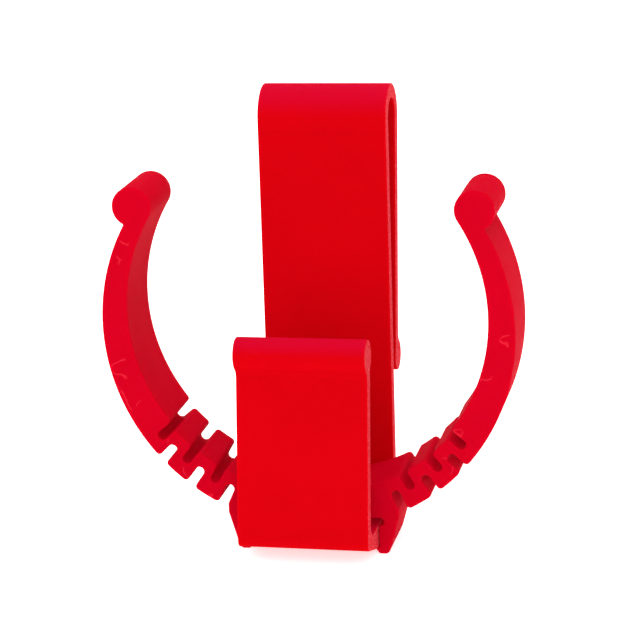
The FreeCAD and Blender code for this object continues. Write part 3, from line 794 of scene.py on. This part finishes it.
def draw_bead(pen, lean, bead, sizes, faces, along, steps):
    """A bead at the end of a strip, from the hollow on the first face round to the one on the second.

    Faces holds each face's depth and the side of the strip that it is on. Along is 1 where the strip runs
    up from its bead, and -1 where it runs down.
    """
    depth, height, radius = bead
    middle = lean.point(depth, height)
    first, first_side, second, second_side = faces
    hollow = hollow_centre(depth, height, radius, sizes.bead_blend, first, first_side, along)
    pen.line(lean.point(first, hollow[1]), steps)
    arc_about(pen, lean.point(*hollow), middle, -1)
    hollow = hollow_centre(depth, height, radius, sizes.bead_blend, second, second_side, along)
    arc_about(pen, middle, lean.point(*hollow), 1)
    arc_about(pen, lean.point(*hollow), lean.point(second, hollow[1]), -1)


def strip_blank(sizes):
    """The whole strip as one solid."""
    hook = Vector((sizes.hook_y, sizes.hook_z))
    plate = Leaning(hook, sizes.plate_lean)
    leg = Leaning(hook, sizes.leg_lean)
    panel = Leaning(Vector((sizes.panel_y, sizes.panel_z)), sizes.panel_lean)
    outer, inner = sizes.hook_radius, sizes.hook_radius - sizes.gauge
    ramp_foot = Vector((sizes.ramp_foot, sizes.web_bottom))
    rear_corner = plate.at_level(-inner, sizes.web_bottom)
    ramp_slope = Vector((-math.cos(sizes.ramp), math.sin(sizes.ramp)))
    gap = panel.origin - ramp_foot
    ramp_length = gap.cross(panel.height) / ramp_slope.cross(panel.height)
    ramp_top = ramp_foot + ramp_slope * ramp_length

    pen = Outline("strip_blank", "X", ramp_foot)
    pen.corner(rear_corner, plate.point(-inner, 0), sizes.rear_corner, steps=16, line_steps=10)
    pen.line(plate.point(-inner, 0), steps=24)
    arc_about(pen, hook, leg.point(inner, 0), -1)
    bead_depth = outer - sizes.gauge / 2 + sizes.leg_bead_out
    bead = (bead_depth, -sizes.leg_length, sizes.leg_bead)
    draw_bead(pen, leg, bead, sizes, (inner, -1, outer, 1), 1, steps=24)
    pen.line(leg.point(outer, 0), steps=24)
    arc_about(pen, hook, plate.point(-outer, 0), 1)
    rear_inner = plate.at_level(-outer, sizes.web_top)
    front_inner = panel.at_level(sizes.gauge, sizes.web_top)
    pen.corner(rear_inner, front_inner, sizes.web_corner, steps=10, line_steps=24)
    pen.corner(front_inner, panel.point(sizes.gauge, 0), sizes.web_corner, steps=10, line_steps=10)
    bead_depth = sizes.gauge / 2 - sizes.panel_bead_out
    bead = (bead_depth, sizes.panel_length, sizes.panel_bead)
    draw_bead(pen, panel, bead, sizes, (sizes.gauge, 1, 0, -1), -1, steps=24)
    pen.corner(ramp_top, ramp_foot, sizes.front_corner, steps=8, line_steps=24)
    blank = pen.solid(sizes.width)
    round_rims(blank, sizes.rim)
    return blank


class HOLDER_OT_strip(bpy.types.Operator):
    """Model the clip strip, and divide it in the flat of its web and in the flat of its plate"""
    bl_idname = "holder.strip"
    bl_label = "Clip strip"

    def execute(self, context):
        sizes = context.scene.holder_strip
        material = holder_materials()[1]
        blank = strip_blank(sizes)
        hook = Vector((0, sizes.hook_y, sizes.hook_z))
        gap_lean = sizes.plate_lean + GATE_SHARE * (sizes.leg_lean - sizes.plate_lean)
        to_plate = Vector((0, -math.cos(gap_lean), math.sin(gap_lean)))
        web_cut = Vector((0, WEB_CUT, 0))
        plate_cut = hook - Vector((0, 0, PLATE_CUT))

        front = copied(blank, "strip_front_panel")
        cut_at(front, web_cut, (0, 1, 0))
        finish_piece(front, material)
        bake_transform(front)
        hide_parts("front_panel")

        plate = copied(blank, "strip_back_plate")
        cut_at(plate, plate_cut, (0, 0, 1))
        cut_at(plate, hook, -to_plate)
        cut_at(plate, web_cut, (0, -1, 0))
        finish_piece(plate, material)
        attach(plate, "root")
        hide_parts("back_plate", "bottom_web")

        rear = copied(blank, "strip_hook_and_leg")
        trim_beyond(rear, plate_cut, (0, 0, -1), hook, to_plate)
        finish_piece(rear, material)
        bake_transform(rear)
        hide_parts("hook_crown", "belt_leg")

        bpy.data.objects.remove(blank)
        return {"FINISHED"}


# ---- studio ----------------------------------------------------------------------------------------------

FLOOR_SIZE = 4.0
FLOOR_COLOURS = ((0.84, 0.84, 0.84), (0.87, 0.87, 0.87))
FLOOR_GLOW = 0.7        # the floor fades into the background
SOFTBOXES = (           # name, place, size, watts
    ("key_light", (0.12, -0.55, 0.25), 0.50, 2.3),
    ("fill_light", (-0.45, -0.30, 0.35), 0.50, 0.3),
    ("back_light", (0.05, 0.25, 0.75), 0.60, 3.8),
)
CAMERA_PLACE = (0.09632, -0.42198, 0.12194)
CAMERA_HEADING = math.radians(12.69)   # turned about the vertical
CAMERA_RISE = math.radians(73.92)      # tilted up from straight down
CAMERA_ROLL = math.radians(-2.36)      # turned about its own line of sight
CAMERA_LENS = 134.0                    # in millimetres, as is the sensor
CAMERA_SENSOR = 36.0


def floor_material():
    """A pale floor that is a little uneven."""
    material = bpy.data.materials.new("Pale floor")
    material.use_nodes = True
    tree = material.node_tree
    shader = tree.nodes["Principled BSDF"]
    shader.inputs["Roughness"].default_value = 0.9
    shader.inputs["Specular IOR Level"].default_value = 0.1
    coordinates = tree.nodes.new("ShaderNodeTexCoord")
    cloud = noise(tree, coordinates.outputs["Object"], 6.0, detail=2.0)
    pale = mixed(tree, cloud, *FLOOR_COLOURS)
    tree.links.new(pale, shader.inputs["Base Color"])
    tree.links.new(pale, shader.inputs["Emission Color"])
    shader.inputs["Emission Strength"].default_value = FLOOR_GLOW
    return material


def soft_light(name, place, size, watts):
    """A square softbox that looks at the middle of the ring."""
    aim = (-Vector(place)).to_track_quat("-Z", "Y").to_euler()
    bpy.ops.object.light_add(type="AREA", location=place, rotation=aim)
    lamp = bpy.context.active_object
    lamp.name = name
    lamp.data.shape = "SQUARE"
    lamp.data.size = size
    lamp.data.energy = watts
    return lamp


class HOLDER_OT_stage(bpy.types.Operator):
    """Set up the floor, the soft lights and the camera"""
    bl_idname = "holder.stage"
    bl_label = "Studio"

    def execute(self, context):
        scene = context.scene
        bpy.ops.mesh.primitive_plane_add(size=FLOOR_SIZE, location=(0, 0, FLOOR_LEVEL))
        floor = bpy.context.active_object
        floor.name = "studio_floor"
        floor.data.materials.append(floor_material())
        lamps = [soft_light(*softbox) for softbox in SOFTBOXES]
        world = bpy.data.worlds.new("Pale studio")
        world.use_nodes = True
        background = world.node_tree.nodes["Background"]
        background.inputs["Color"].default_value = (1.0, 1.0, 1.0, 1.0)
        background.inputs["Strength"].default_value = 1.0
        scene.world = world
        scene.view_settings.view_transform = "Standard"
        bpy.ops.object.camera_add(location=CAMERA_PLACE)
        camera = bpy.context.active_object
        camera.name = "studio_camera"
        aim = Matrix.Rotation(CAMERA_HEADING, 3, "Z")
        aim = aim @ Matrix.Rotation(CAMERA_RISE, 3, "X")
        aim = aim @ Matrix.Rotation(CAMERA_ROLL, 3, "Z")
        camera.rotation_euler = aim.to_euler()
        camera.data.lens = CAMERA_LENS
        camera.data.sensor_width = CAMERA_SENSOR
        camera.data.clip_start = 0.01
        camera.data.dof.use_dof = False
        scene.camera = camera
        return {"FINISHED"}


# ---- panel and registration ------------------------------------------------------------------------------

OPERATORS = (HOLDER_OT_cradle, HOLDER_OT_strip, HOLDER_OT_stage)
GROUPS = {
    "holder_cradle": HolderCradleSizes,
    "holder_strip": HolderStripSizes,
    "holder_finish": HolderFinish,
}


class HOLDER_PT_panel(bpy.types.Panel):
    """The steps of the model, in order, and their sizes"""
    bl_label = "Belt Clip Holder"
    bl_idname = "HOLDER_PT_panel"
    bl_space_type = "VIEW_3D"
    bl_region_type = "UI"
    bl_category = "Holder"

    def draw(self, context):
        for operator in OPERATORS:
            self.layout.operator(operator.bl_idname)
        for name, group in GROUPS.items():
            box = self.layout.box()
            box.label(text=group.__doc__)
            for field in group.__annotations__:
                box.prop(getattr(context.scene, name), field)


def register():
    for group in GROUPS.values():
        bpy.utils.register_class(group)
    for name, group in GROUPS.items():
        setattr(bpy.types.Scene, name, PointerProperty(type=group))
    for operator in OPERATORS:
        bpy.utils.register_class(operator)
    bpy.utils.register_class(HOLDER_PT_panel)


def unregister():
    bpy.utils.unregister_class(HOLDER_PT_panel)
    for operator in reversed(OPERATORS):
        bpy.utils.unregister_class(operator)
    for name, group in GROUPS.items():
        delattr(bpy.types.Scene, name)
        bpy.utils.unregister_class(group)


def main():
    register()
    bpy.ops.holder.cradle()
    bpy.ops.holder.strip()
    bpy.ops.holder.stage()


if __name__ == "__main__":
    main()
